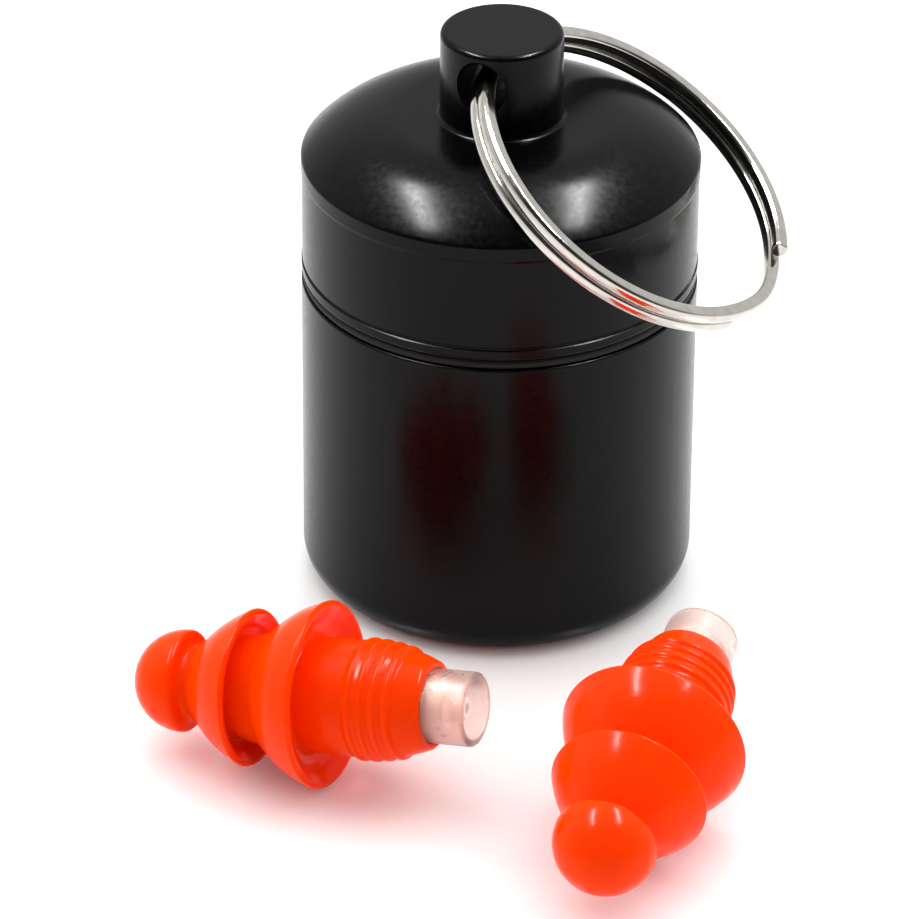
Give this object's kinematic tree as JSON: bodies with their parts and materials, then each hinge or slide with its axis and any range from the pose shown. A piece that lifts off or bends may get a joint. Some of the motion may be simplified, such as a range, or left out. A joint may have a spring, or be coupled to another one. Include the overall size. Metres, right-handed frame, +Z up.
{
  "type": "travel ear plug set",
  "caption": "Travel ear plugs: a screw-top metal capsule with a key ring, and a pair of soft flanged plugs with filter inserts.",
  "frame": {"origin": "centre of the capsule's flat base, on the table", "axes": "+Z up along the capsule's axis, -Y towards the viewer and the ear plugs, +X towards the split ring's side"},
  "size_m": [0.0417, 0.0567, 0.0397],
  "materials": {
    "case_metal": "satin black anodised",
    "seal_rubber": "matte",
    "ring_nickel": "nickel plated",
    "silicone": "soft satin, lets light through",
    "insert_plastic": "frosted, lets light through",
    "core_plastic": "satin",
    "mesh_plastic": "matte"
  },
  "bodies": {
    "case": {"case_cup": "case_metal"},
    "seal": {"case_seal": "seal_rubber"},
    "cap": {"case_cap": "case_metal"},
    "ring": {"split_ring": "ring_nickel"},
    "plug_left": {"left_sleeve": "silicone"},
    "insert_left": {"left_filter_shell": "insert_plastic", "left_filter_core": "core_plastic", "left_filter_mesh": "mesh_plastic"},
    "plug_right": {"right_sleeve": "silicone"},
    "insert_right": {"right_filter_shell": "insert_plastic", "right_filter_core": "core_plastic", "right_filter_mesh": "mesh_plastic"}
  },
  "joints": [
    {"name": "cap_turn", "type": "hinge", "parent": "case", "child": "seal", "pos_m": [0, 0, 0.0226], "axis": [0, 0, 1], "range_deg": [0, 1440]},
    {"name": "cap_lift", "type": "slide", "parent": "seal", "child": "cap", "axis": [0, 0, 1], "range_m": [0, 0.006]},
    {"name": "ring_swing", "type": "hinge", "parent": "cap", "child": "ring", "pos_m": [0, 0, 0.03722], "axis": [-0.3584, -0.9336, 0], "range_deg": [0, 250]},
    {"name": "plug_left_lift", "type": "slide", "parent": "case", "child": "plug_left", "axis": [0, 0, 1], "range_m": [0, 0.03]},
    {"name": "plug_right_lift", "type": "slide", "parent": "case", "child": "plug_right", "axis": [0, 0, 1], "range_m": [0, 0.03]},
    {"name": "insert_left_pull", "type": "slide", "parent": "plug_left", "child": "insert_left", "axis": [0.917, -0.3705, 0.1478], "range_m": [0, 0.004]},
    {"name": "insert_right_pull", "type": "slide", "parent": "plug_right", "child": "insert_right", "axis": [0.3138, 0.9379, 0.1478], "range_m": [0, 0.007]}
  ],
  "couplings": [
    {"joint": "cap_lift", "follows": "cap_turn", "m_per_rad": 0.00023873}
  ]
}
